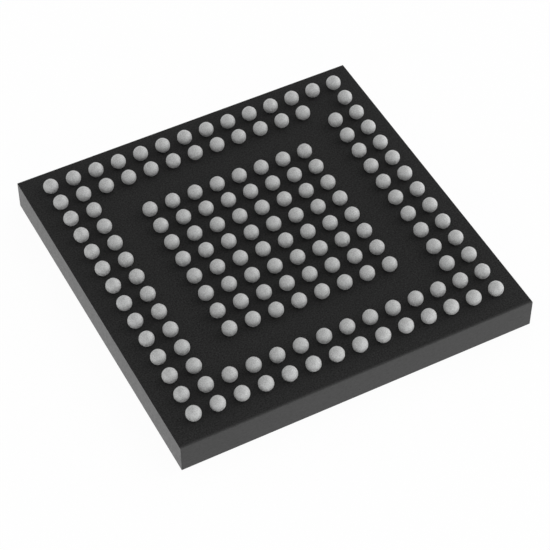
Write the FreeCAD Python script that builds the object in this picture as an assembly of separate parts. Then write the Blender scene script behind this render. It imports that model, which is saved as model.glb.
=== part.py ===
import FreeCAD, Part
import math
import os

from FreeCAD import Placement, Rotation, Vector

# Ball grid array chip, in millimetres.
# It lies on its marking face, at z = 0, with the solder balls pointing up.
# The origin is the middle of that face, and X and Y run along the edges.
# The corner of ball A1 is the one at +X and +Y.

# Body, a 12 mm package within its usual tolerance
body_side = 12.08
cap_thickness = 0.70
laminate_thickness = 0.34

# Mark of the first corner, lasered into the marking face
corner_mark_diameter = 0.50
corner_mark_depth = 0.04
corner_mark_inset = 1.0

# Solder balls
ball_pitch = 0.80
balls_per_side = 14
ball_diameter = 0.49
ball_height = 0.475
centre_field_ring = 3
# The first corner's site in the second ring is left without a ball.
empty_site = (12, 12)
# Each ball is a polyhedron, because there are so many: rings of corners at these
# latitudes between its foot and its tip, moved out to keep the true ball's widest area.
ball_sides = 8
ball_ring_latitudes = (-22.0, 18.0, 54.0)
ball_ring_swell = 1.11

# Silicon die and the film that glues it to the laminate
die_side = 4.8
die_thickness = 0.25
film_thickness = 0.03

# Bond wires, of square section, between the die's pads and the laminate's fingers
wires_per_side = 18
wire_width = 0.025
die_pad_pitch = 0.24
die_pad_inset = 0.08
finger_pitch = 0.34
finger_line = 3.35
loop_rise = 0.12
loop_flat_share = 0.45

# Heights that follow from these
laminate_bottom = cap_thickness
ball_face = laminate_bottom + laminate_thickness
film_bottom = laminate_bottom - film_thickness
die_bottom = film_bottom - die_thickness
loop_bottom = die_bottom - loop_rise


def block(side, bottom, thickness):
    """Square plate centred on the Z axis."""
    corner = Vector(-side / 2, -side / 2, bottom)
    return Part.makeBox(side, side, thickness, corner)


def corner_ring(radius, height):
    """Corners of one level of a ball, on a circle about the Z axis."""
    half_step = math.pi / ball_sides
    ring = []
    for index in range(ball_sides):
        angle = half_step * (2 * index + 1)
        ring.append(Vector(radius * math.cos(angle), radius * math.sin(angle), height))
    return ring


def flat_face(corners):
    return Part.Face(Part.makePolygon(corners + corners[:1]))


def solder_ball():
    """One ball with its flat foot on z = 0."""
    radius = ball_diameter / 2
    centre_height = ball_height - radius
    foot_radius = math.sqrt(radius**2 - centre_height**2)
    rings = [corner_ring(foot_radius, 0)]
    for latitude in ball_ring_latitudes:
        angle = math.radians(latitude)
        ring_radius = radius * math.cos(angle) * ball_ring_swell
        rings.append(corner_ring(ring_radius, centre_height + radius * math.sin(angle)))
    tip = Vector(0, 0, ball_height)
    faces = [flat_face(rings[0])]
    for side in range(ball_sides):
        following = (side + 1) % ball_sides
        for lower, upper in zip(rings, rings[1:]):
            faces.append(flat_face([lower[side], lower[following], upper[following], upper[side]]))
        faces.append(flat_face([rings[-1][side], rings[-1][following], tip]))
    return Part.Solid(Part.Shell(faces))


def ring_of_site(column, row):
    """Rings are counted inwards from the outermost, which is 0."""
    last = balls_per_side - 1
    return min(column, row, last - column, last - row)


def balls_at(is_wanted):
    """Balls on the sites that is_wanted(column, row) picks, as separate solids."""
    ball = solder_ball()
    first = -ball_pitch * (balls_per_side - 1) / 2
    balls = []
    for column in range(balls_per_side):
        for row in range(balls_per_side):
            if is_wanted(column, row):
                place = Vector(first + column * ball_pitch, first + row * ball_pitch, ball_face)
                balls.append(ball.translated(place))
    return Part.makeCompound(balls)


def outer_ring_balls():
    return balls_at(lambda column, row: ring_of_site(column, row) == 0)


def second_ring_balls():
    return balls_at(lambda column, row: ring_of_site(column, row) == 1 and (column, row) != empty_site)


def centre_field_balls():
    return balls_at(lambda column, row: ring_of_site(column, row) >= centre_field_ring)


def laminate_substrate():
    return block(body_side, laminate_bottom, laminate_thickness)


def die_attach_film():
    return block(die_side, film_bottom, film_thickness)


def silicon_die():
    return block(die_side, die_bottom, die_thickness)


def bond_wire(span):
    """Wire in the XZ plane: down from the die's pad at x = 0, along its loop,
    and up to the laminate's finger at x = span."""
    half = wire_width / 2
    bend = span * loop_flat_share
    rise = laminate_bottom - loop_bottom
    run = span - bend
    slope_length = math.hypot(run, rise)
    # A mitred corner moves along the flat stretch by this much on either side of the wire.
    mitre = half * (slope_length - run) / rise
    # The sloping stretch is cut level where it stands on the finger.
    cut_half_width = half * slope_length / rise
    outline = [
        Vector(-half, 0, die_bottom),
        Vector(-half, 0, loop_bottom - half),
        Vector(bend + mitre, 0, loop_bottom - half),
        Vector(span + cut_half_width, 0, laminate_bottom),
        Vector(span - cut_half_width, 0, laminate_bottom),
        Vector(bend - mitre, 0, loop_bottom + half),
        Vector(half, 0, loop_bottom + half),
        Vector(half, 0, die_bottom),
    ]
    face = flat_face(outline)
    face.translate(Vector(0, -half, 0))
    return face.extrude(Vector(0, wire_width, 0))


def bond_wires(turn):
    """The row of wires at one side of the die: the +X side, turned about Z by turn degrees."""
    pad_x = die_side / 2 - die_pad_inset
    middle = (wires_per_side - 1) / 2
    wires = []
    for index in range(wires_per_side):
        pad = Vector(pad_x, (index - middle) * die_pad_pitch, 0)
        finger = Vector(finger_line, (index - middle) * finger_pitch, 0)
        reach = finger - pad
        heading = math.degrees(math.atan2(reach.y, reach.x))
        wire = bond_wire(reach.Length)
        wire.Placement = Placement(pad, Rotation(Vector(0, 0, 1), heading))
        wires.append(wire)
    row = Part.makeCompound(wires)
    row.rotate(Vector(0, 0, 0), Vector(0, 0, 1), turn)
    return row


def corner_mark():
    place = body_side / 2 - corner_mark_inset
    return Part.makeCylinder(corner_mark_diameter / 2, corner_mark_depth, Vector(place, place, 0))


def mould_cap(enclosed):
    """Epoxy compound that fills the space round everything on the laminate's inner face."""
    cap = block(body_side, 0, cap_thickness).cut(corner_mark())
    for piece in enclosed:
        cap = cap.cut(piece)
    return cap


enclosed = {
    "die_attach_film": die_attach_film(),
    "silicon_die": silicon_die(),
    "bond_wires_right": bond_wires(0),
    "bond_wires_back": bond_wires(90),
    "bond_wires_left": bond_wires(180),
    "bond_wires_front": bond_wires(270),
}
parts = {
    "mould_cap": mould_cap(enclosed.values()),
    **enclosed,
    "laminate_substrate": laminate_substrate(),
    "outer_ring_balls": outer_ring_balls(),
    "second_ring_balls": second_ring_balls(),
    "centre_field_balls": centre_field_balls(),
}

os.makedirs("parts", exist_ok=True)
for name, shape in parts.items():
    shape.exportStep(f"parts/{name}.step")
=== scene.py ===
import math

import bmesh
import bpy
from mathutils import Matrix, Vector


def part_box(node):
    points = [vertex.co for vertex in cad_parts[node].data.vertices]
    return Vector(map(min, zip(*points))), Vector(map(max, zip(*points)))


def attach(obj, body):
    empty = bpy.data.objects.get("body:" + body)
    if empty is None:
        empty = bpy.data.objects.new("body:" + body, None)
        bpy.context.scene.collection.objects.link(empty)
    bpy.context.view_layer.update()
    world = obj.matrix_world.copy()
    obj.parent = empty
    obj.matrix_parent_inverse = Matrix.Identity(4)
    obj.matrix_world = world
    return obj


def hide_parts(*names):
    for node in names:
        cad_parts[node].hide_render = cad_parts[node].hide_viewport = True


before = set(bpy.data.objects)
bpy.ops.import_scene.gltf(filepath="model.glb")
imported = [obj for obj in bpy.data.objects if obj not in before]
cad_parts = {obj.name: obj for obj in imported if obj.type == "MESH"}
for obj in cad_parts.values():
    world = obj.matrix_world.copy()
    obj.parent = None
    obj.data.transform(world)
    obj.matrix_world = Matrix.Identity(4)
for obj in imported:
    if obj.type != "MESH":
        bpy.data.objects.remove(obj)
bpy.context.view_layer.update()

# Camera: it looks down on the ball side, over the corner between the front and the left
# side. Its place and lens make the balls and edges fall where the photograph has them.
lens_length = 134.8
sensor_width = 36.0
nearest_seen = 0.001
camera_place = (-0.020213, -0.038870, 0.049269)
aim_on_table = Vector((-0.000054, -0.000549, 0.0))
camera_data = bpy.data.cameras.new("camera")
camera_data.lens = lens_length
camera_data.sensor_width = sensor_width
camera_data.clip_start = nearest_seen
camera = bpy.data.objects.new("camera", camera_data)
camera.location = camera_place
camera.rotation_euler = (aim_on_table - camera.location).to_track_quat("-Z", "Y").to_euler()
bpy.context.scene.collection.objects.link(camera)
bpy.context.scene.camera = camera
bpy.context.scene.view_settings.view_transform = "Standard"

# Mould cap: a slab of black epoxy, filled with ground silica and moulded over the die. Its
# marking face is as moulded, with a laser dot in the first corner. Its four sides are cut
# with a diamond saw, right through the cap and the board, which leaves fine lines along them.
cap_low, cap_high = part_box("mould_cap")
body_side = cap_high.x - cap_low.x
edge_radius = 0.00001
corner_mark_radius = 0.00025
corner_mark_depth = 0.00004
corner_mark_inset = 0.001
corner_mark_sides = 32
# Faces that meet at more than this angle, in radians, have a sharp edge between them.
sharp_angle = 1.0
# The upright part of a level face's normal is at least this.
level_normal = 0.7
grain_detail = 3.0
grain_roughness = 0.6
# The grain's noise varies round this value.
grain_middle = 0.5


def new_material(name):
    """A node material with only its Principled BSDF and output, and its tree and shader."""
    material = bpy.data.materials.new(name)
    material.use_nodes = True
    tree = material.node_tree
    return material, tree, tree.nodes["Principled BSDF"]


def link(tree, source, output, target, socket):
    tree.links.new(source.outputs[output], target.inputs[socket])


def grain_group():
    """Grain of a filled, matt or frosted surface: a colour factor round 1, a roughness, a height.

    The scales are grains per metre, across the part and upwards, so that a grain can be long."""
    group = bpy.data.node_groups.new("grain", "ShaderNodeTree")
    inputs = {
        "Across": 20000.0,
        "Upwards": 20000.0,
        "Colour spread": 0.1,
        "Roughness": 0.5,
        "Roughness spread": 0.1,
    }
    for name, value in inputs.items():
        socket = group.interface.new_socket(name, in_out="INPUT", socket_type="NodeSocketFloat")
        socket.default_value = value
    for name in ("Factor", "Roughness", "Height"):
        group.interface.new_socket(name, in_out="OUTPUT", socket_type="NodeSocketFloat")
    given = group.nodes.new("NodeGroupInput")
    result = group.nodes.new("NodeGroupOutput")
    place = group.nodes.new("ShaderNodeTexCoord")
    scales = group.nodes.new("ShaderNodeCombineXYZ")
    link(group, given, "Across", scales, "X")
    link(group, given, "Across", scales, "Y")
    link(group, given, "Upwards", scales, "Z")
    stretch = group.nodes.new("ShaderNodeVectorMath")
    stretch.operation = "MULTIPLY"
    link(group, place, "Object", stretch, 0)
    link(group, scales, "Vector", stretch, 1)
    noise = group.nodes.new("ShaderNodeTexNoise")
    noise.inputs["Scale"].default_value = 1.0
    noise.inputs["Detail"].default_value = grain_detail
    noise.inputs["Roughness"].default_value = grain_roughness
    link(group, stretch, "Vector", noise, "Vector")
    link(group, noise, "Fac", result, "Height")
    centred = group.nodes.new("ShaderNodeMath")
    centred.operation = "SUBTRACT"
    centred.inputs[1].default_value = grain_middle
    link(group, noise, "Fac", centred, 0)
    factor = group.nodes.new("ShaderNodeMath")
    factor.operation = "MULTIPLY_ADD"
    factor.inputs[2].default_value = 1.0
    link(group, centred, "Value", factor, 0)
    link(group, given, "Colour spread", factor, 1)
    link(group, factor, "Value", result, "Factor")
    rough = group.nodes.new("ShaderNodeMath")
    rough.operation = "MULTIPLY_ADD"
    link(group, centred, "Value", rough, 0)
    link(group, given, "Roughness spread", rough, 1)
    link(group, given, "Roughness", rough, 2)
    link(group, rough, "Value", result, "Roughness")
    return group


grain = grain_group()


def grained_material(name, colour, across, upwards, colour_spread, roughness, roughness_spread, relief):
    """Material of one colour with the grain over it. relief is the height of its bumps in metres."""
    material, tree, shader = new_material(name)
    pattern = tree.nodes.new("ShaderNodeGroup")
    pattern.name = "pattern"
    pattern.node_tree = grain
    pattern.inputs["Across"].default_value = across
    pattern.inputs["Upwards"].default_value = upwards
    pattern.inputs["Colour spread"].default_value = colour_spread
    pattern.inputs["Roughness"].default_value = roughness
    pattern.inputs["Roughness spread"].default_value = roughness_spread
    shade = tree.nodes.new("ShaderNodeVectorMath")
    shade.name = "shade"
    shade.operation = "SCALE"
    shade.inputs[0].default_value = colour
    bump = tree.nodes.new("ShaderNodeBump")
    bump.inputs["Distance"].default_value = relief
    link(tree, pattern, "Factor", shade, "Scale")
    link(tree, shade, "Vector", shader, "Base Color")
    link(tree, pattern, "Roughness", shader, "Roughness")
    link(tree, pattern, "Height", bump, "Height")
    link(tree, bump, "Normal", shader, "Normal")
    return material, shader


def body_piece(name, shape, materials):
    """Turns a finished bmesh into an object of the part, with its wide faces shaded flat."""
    for face in shape.faces:
        face.smooth = True
    for edge in shape.edges:
        edge.smooth = edge.calc_face_angle(0.0) < sharp_angle
    mesh = bpy.data.meshes.new(name)
    shape.to_mesh(mesh)
    shape.free()
    for material in materials:
        mesh.materials.append(material)
    piece = bpy.data.objects.new(name, mesh)
    bpy.context.scene.collection.objects.link(piece)
    even_shading = piece.modifiers.new("even_shading", "WEIGHTED_NORMAL")
    even_shading.keep_sharp = True
    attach(piece, "root")
    return piece


def round_edges(shape, is_wanted):
    """Rounds the right-angled edges at the outside of the body that is_wanted(edge) picks."""
    outside = body_side / 2 - edge_radius
    edges = []
    for edge in shape.edges:
        at_outside = all(max(abs(vert.co.x), abs(vert.co.y)) > outside for vert in edge.verts)
        if at_outside and edge.calc_face_angle(0.0) > sharp_angle and is_wanted(edge):
            edges.append(edge)
    bmesh.ops.bevel(
        shape,
        geom=edges,
        offset=edge_radius,
        segments=3,
        profile=0.5,
        affect="EDGES",
        material=-1,
    )


def is_upright_or_at(height):
    """Picks the upright edges, and the ones that lie at the given height."""
    return lambda edge: any(abs(vert.co.z - height) < edge_radius for vert in edge.verts)


sawn_compound, sawn_shader = grained_material(
    "sawn_compound",
    colour=(0.02, 0.02, 0.02),
    across=13000.0,
    upwards=21000.0,
    colour_spread=4.0,
    roughness=0.36,
    roughness_spread=0.4,
    relief=0.0000006,
)
sawn_shader.inputs["Specular IOR Level"].default_value = 0.46
moulded_compound, _ = grained_material(
    "moulded_compound",
    colour=(0.016, 0.016, 0.0164),
    across=22000.0,
    upwards=22000.0,
    colour_spread=0.6,
    roughness=0.5,
    roughness_spread=0.2,
    relief=0.000006,
)
lasered_compound, _ = grained_material(
    "lasered_compound",
    colour=(0.11, 0.108, 0.104),
    across=40000.0,
    upwards=40000.0,
    colour_spread=0.8,
    roughness=0.75,
    roughness_spread=0.2,
    relief=0.000008,
)

cap_shape = bmesh.new()
square_turn = Matrix.Rotation(math.radians(45.0), 4, "Z")
bmesh.ops.create_circle(cap_shape, segments=4, radius=body_side / math.sqrt(2.0), matrix=square_turn)
outline = cap_shape.edges[:]
mark_place = body_side / 2 - corner_mark_inset
bmesh.ops.create_circle(
    cap_shape,
    segments=corner_mark_sides,
    radius=corner_mark_radius,
    matrix=Matrix.Translation((mark_place, mark_place, cap_low.z)),
)
mark_rim = [edge for edge in cap_shape.edges if edge not in outline]
bmesh.ops.triangle_fill(cap_shape, use_beauty=True, edges=outline + mark_rim, normal=(0.0, 0.0, -1.0))
for rim, rise in ((mark_rim, corner_mark_depth), (outline, cap_high.z - cap_low.z)):
    raised = bmesh.ops.extrude_edge_only(cap_shape, edges=rim)["geom"]
    raised_corners = [item for item in raised if isinstance(item, bmesh.types.BMVert)]
    raised_edges = [item for item in raised if isinstance(item, bmesh.types.BMEdge)]
    raised_rim = [edge for edge in raised_edges if set(edge.verts) <= set(raised_corners)]
    bmesh.ops.translate(cap_shape, vec=(0.0, 0.0, rise), verts=raised_corners)
    bmesh.ops.edgeloop_fill(cap_shape, edges=raised_rim)
bmesh.ops.recalc_face_normals(cap_shape, faces=cap_shape.faces[:])
round_edges(cap_shape, is_upright_or_at(cap_low.z))
for face in cap_shape.faces:
    middle = face.calc_center_median()
    in_mark = (middle.xy - Vector((mark_place, mark_place))).length < corner_mark_radius
    if face.normal.z < -level_normal:
        face.material_index = 2 if in_mark and middle.z > corner_mark_depth / 2 else 1
mould_cap = body_piece("mould_cap_sawn", cap_shape, [sawn_compound, moulded_compound, lasered_compound])
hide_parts("mould_cap")

# Board: a glass and resin laminate under black solder mask, which is the face that the
# balls stand on. It is sawn through with the cap, so that the side walls are one plane. Along
# the front edge the mask is painted paler in a narrow band, as painted light for a rounded edge.
board_low, board_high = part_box("laminate_substrate")
front_edge = -body_side / 2
painted_edge_light_width = 0.00013
painted_edge_light_gain = 2.1
painted_edge_light_falloff = 2.0
solder_mask, mask_shader = grained_material(
    "matt_solder_mask",
    colour=(0.036, 0.036, 0.036),
    across=22000.0,
    upwards=22000.0,
    colour_spread=2.4,
    roughness=0.7,
    roughness_spread=0.2,
    relief=0.0000004,
)
mask_shader.inputs["Specular IOR Level"].default_value = 0.08
mask_tree = solder_mask.node_tree
# Painted light: near the front edge the mask's colour is scaled up, fading inwards over a narrow band,
# in place of the light on a softly rounded edge.
mask_place = mask_tree.nodes.new("ShaderNodeTexCoord")
mask_axes = mask_tree.nodes.new("ShaderNodeSeparateXYZ")
link(mask_tree, mask_place, "Object", mask_axes, "Vector")
nearness = mask_tree.nodes.new("ShaderNodeMapRange")
nearness.inputs["From Min"].default_value = front_edge
nearness.inputs["From Max"].default_value = front_edge + painted_edge_light_width
nearness.inputs["To Min"].default_value = 1.0
nearness.inputs["To Max"].default_value = 0.0
link(mask_tree, mask_axes, "Y", nearness, "Value")
fading = mask_tree.nodes.new("ShaderNodeMath")
fading.operation = "POWER"
fading.inputs[1].default_value = painted_edge_light_falloff
link(mask_tree, nearness, "Result", fading, 0)
painted_edge_light = mask_tree.nodes.new("ShaderNodeMath")
painted_edge_light.operation = "MULTIPLY_ADD"
painted_edge_light.inputs[1].default_value = painted_edge_light_gain
link(mask_tree, fading, "Value", painted_edge_light, 0)
link(mask_tree, mask_tree.nodes["pattern"], "Factor", painted_edge_light, 2)
link(mask_tree, painted_edge_light, "Value", mask_tree.nodes["shade"], "Scale")
board_shape = bmesh.new()
board_size = Matrix.Diagonal((body_side, body_side, board_high.z - board_low.z, 1.0))
board_place = Matrix.Translation((0.0, 0.0, (board_low.z + board_high.z) / 2))
bmesh.ops.create_cube(board_shape, size=1.0, matrix=board_place @ board_size)
round_edges(board_shape, is_upright_or_at(board_high.z))
for face in board_shape.faces:
    face.material_index = 1 if face.normal.z > level_normal else 0
board = body_piece("laminate_board", board_shape, [sawn_compound, solder_mask])
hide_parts("laminate_substrate")

# Silicon die and the film that glues it to the board. The die is polished at the back and
# the film is a cured adhesive. Both are sealed in the mould cap.
silicon, silicon_shader = grained_material(
    "polished_silicon",
    colour=(0.2, 0.21, 0.24),
    across=3000.0,
    upwards=3000.0,
    colour_spread=0.08,
    roughness=0.12,
    roughness_spread=0.06,
    relief=0.0000001,
)
silicon_shader.inputs["Metallic"].default_value = 0.6
adhesive, _ = grained_material(
    "cured_film",
    colour=(0.62, 0.57, 0.45),
    across=12000.0,
    upwards=12000.0,
    colour_spread=0.2,
    roughness=0.5,
    roughness_spread=0.2,
    relief=0.000001,
)

# Bond wires: drawn gold, looped from the die's pads to the board's fingers and sealed in
# the mould cap with the die.
gold, gold_shader = grained_material(
    "drawn_gold",
    colour=(0.85, 0.63, 0.25),
    across=30000.0,
    upwards=30000.0,
    colour_spread=0.06,
    roughness=0.25,
    roughness_spread=0.1,
    relief=0.0000002,
)
gold_shader.inputs["Metallic"].default_value = 1.0
sealed_finishes = {"silicon_die": silicon, "die_attach_film": adhesive}
for side in ("right", "back", "left", "front"):
    sealed_finishes["bond_wires_" + side] = gold
for node, finish in sealed_finishes.items():
    for slot in bpy.data.objects[node].material_slots:
        slot.material = finish

# Solder balls: a tin, silver and copper alloy, melted onto the board's lands. Each one is
# a sphere but for the small flat where it is wetted to its land. Its skin froze into fine
# grains, so it is matt rather than bright.
ball_pitch = 0.0008
ball_radius = 0.000245
balls_per_side = 14
centre_field_ring = 3
empty_site = (12, 12)
# A smoothed ball is this much smaller than the mesh that is smoothed.
smoothing_shrink = 0.927
solder, solder_shader = grained_material(
    "frosted_solder",
    colour=(0.785, 0.79, 0.787),
    across=34000.0,
    upwards=34000.0,
    colour_spread=0.95,
    roughness=0.8,
    roughness_spread=0.3,
    relief=0.0000024,
)
solder_shader.inputs["Metallic"].default_value = 0.95


def ball_mesh(seat_depth):
    """One ball round the origin, cut off flat at seat_depth below its centre."""
    ball = bmesh.new()
    crease = ball.edges.layers.float.new("crease_edge")
    bmesh.ops.create_icosphere(ball, subdivisions=2, radius=ball_radius / smoothing_shrink)
    cut = bmesh.ops.bisect_plane(
        ball,
        geom=ball.verts[:] + ball.edges[:] + ball.faces[:],
        plane_co=(0.0, 0.0, -seat_depth),
        plane_no=(0.0, 0.0, 1.0),
        clear_inner=True,
    )
    rim = [item for item in cut["geom_cut"] if isinstance(item, bmesh.types.BMEdge)]
    bmesh.ops.edgeloop_fill(ball, edges=rim)
    for edge in rim:
        edge[crease] = 1.0
    for face in ball.faces:
        face.smooth = True
    mesh = bpy.data.meshes.new("ball")
    ball.to_mesh(mesh)
    ball.free()
    return mesh


def ring_of_site(column, row):
    """Rings are counted inwards from the outermost, which is 0."""
    last = balls_per_side - 1
    return min(column, row, last - column, last - row)


def ball_group(name, node, is_wanted):
    """Balls on the sites that is_wanted(ring) picks, in place of a node of plain ones."""
    first = -ball_pitch * (balls_per_side - 1) / 2
    centre_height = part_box(node)[1].z - ball_radius
    one_ball = ball_mesh(centre_height - board_high.z)
    balls = bmesh.new()
    for column in range(balls_per_side):
        for row in range(balls_per_side):
            if is_wanted(ring_of_site(column, row)) and (column, row) != empty_site:
                balls.from_mesh(one_ball)
                site = (first + column * ball_pitch, first + row * ball_pitch, centre_height)
                bmesh.ops.translate(balls, vec=site, verts=balls.verts[-len(one_ball.vertices):])
    mesh = bpy.data.meshes.new(name)
    balls.to_mesh(mesh)
    balls.free()
    mesh.materials.append(solder)
    piece = bpy.data.objects.new(name, mesh)
    bpy.context.scene.collection.objects.link(piece)
    smoothing = piece.modifiers.new("smoothing", "SUBSURF")
    smoothing.levels = 1
    smoothing.render_levels = 1
    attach(piece, "root")
    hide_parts(node)


ball_group("outer_balls", "outer_ring_balls", lambda ring: ring == 0)
ball_group("second_balls", "second_ring_balls", lambda ring: ring == 1)
ball_group("centre_balls", "centre_field_balls", lambda ring: ring >= centre_field_ring)

# Table and light: a white table in a pale room, and one big soft lamp at the right. The
# camera and the gloss of the part see the table white, and it keeps a faint shadow. It is
# a hair below the marking face, so that the two don't share a plane.
table_size = 1.0
table_gap = 0.00001
table_colour = (0.8, 0.8, 0.8, 1.0)
table_roughness = 0.9
table_glow = 1.04
white_share = 0.92
table_shape = bmesh.new()
table_place = Matrix.Translation((0.0, 0.0, -table_gap))
bmesh.ops.create_grid(table_shape, x_segments=1, y_segments=1, size=table_size / 2, matrix=table_place)
table_mesh = bpy.data.meshes.new("table")
table_shape.to_mesh(table_mesh)
table_shape.free()
table = bpy.data.objects.new("table", table_mesh)
bpy.context.scene.collection.objects.link(table)

white, white_tree, white_shader = new_material("white_table")
white_shader.inputs["Base Color"].default_value = table_colour
white_shader.inputs["Roughness"].default_value = table_roughness
white_shader.inputs["Specular IOR Level"].default_value = 0.0
glow = white_tree.nodes.new("ShaderNodeEmission")
glow.inputs["Strength"].default_value = table_glow
rays = white_tree.nodes.new("ShaderNodeLightPath")
seen = white_tree.nodes.new("ShaderNodeMath")
seen.operation = "MAXIMUM"
link(white_tree, rays, "Is Camera Ray", seen, 0)
link(white_tree, rays, "Is Glossy Ray", seen, 1)
seen_or_through = white_tree.nodes.new("ShaderNodeMath")
seen_or_through.operation = "MAXIMUM"
link(white_tree, seen, "Value", seen_or_through, 0)
link(white_tree, rays, "Is Transmission Ray", seen_or_through, 1)
share = white_tree.nodes.new("ShaderNodeMath")
share.operation = "MULTIPLY"
share.inputs[1].default_value = white_share
link(white_tree, seen_or_through, "Value", share, 0)
blend = white_tree.nodes.new("ShaderNodeMixShader")
link(white_tree, share, "Value", blend, "Fac")
link(white_tree, white_shader, "BSDF", blend, 1)
link(white_tree, glow, "Emission", blend, 2)
link(white_tree, blend, "Shader", white_tree.nodes["Material Output"], "Surface")
table_mesh.materials.append(white)

# The room is brightest along the horizon, and a little more so at the right and in front.
overhead_light = 0.425
horizon_light = 1.42
horizon_falloff = 6.0
brighter_side = (0.3, -0.75, 0.0)
world = bpy.data.worlds.new("studio")
world.use_nodes = True
bpy.context.scene.world = world
room = world.node_tree
direction = room.nodes.new("ShaderNodeTexCoord")
height = room.nodes.new("ShaderNodeSeparateXYZ")
link(room, direction, "Generated", height, "Vector")
lowness = room.nodes.new("ShaderNodeMath")
lowness.operation = "SUBTRACT"
lowness.use_clamp = True
lowness.inputs[0].default_value = 1.0
link(room, height, "Z", lowness, 1)
horizon = room.nodes.new("ShaderNodeMath")
horizon.operation = "POWER"
horizon.inputs[1].default_value = horizon_falloff
link(room, lowness, "Value", horizon, 0)
side_slope = room.nodes.new("ShaderNodeVectorMath")
side_slope.operation = "DOT_PRODUCT"
side_slope.inputs[1].default_value = brighter_side
link(room, direction, "Generated", side_slope, 0)
side_light = room.nodes.new("ShaderNodeMath")
side_light.operation = "ADD"
side_light.inputs[1].default_value = horizon_light
link(room, side_slope, "Value", side_light, 0)
room_light = room.nodes.new("ShaderNodeMath")
room_light.operation = "MULTIPLY_ADD"
room_light.inputs[2].default_value = overhead_light
link(room, horizon, "Value", room_light, 0)
link(room, side_light, "Value", room_light, 1)
link(room, room_light, "Value", room.nodes["Background"], "Strength")
room.nodes["Background"].inputs["Color"].default_value = (1.0, 1.0, 1.0, 1.0)

lamp_direction = Vector((0.84, -0.1, 0.54))
lamp_distance = 0.3
lamp_size = 0.33
lamp_power = 0.22
lamp_data = bpy.data.lights.new("soft_lamp", "AREA")
lamp_data.shape = "DISK"
lamp_data.size = lamp_size
lamp_data.energy = lamp_power
lamp = bpy.data.objects.new("soft_lamp", lamp_data)
lamp.location = lamp_direction.normalized() * lamp_distance
lamp.rotation_euler = lamp_direction.to_track_quat("Z", "Y").to_euler()
bpy.context.scene.collection.objects.link(lamp)
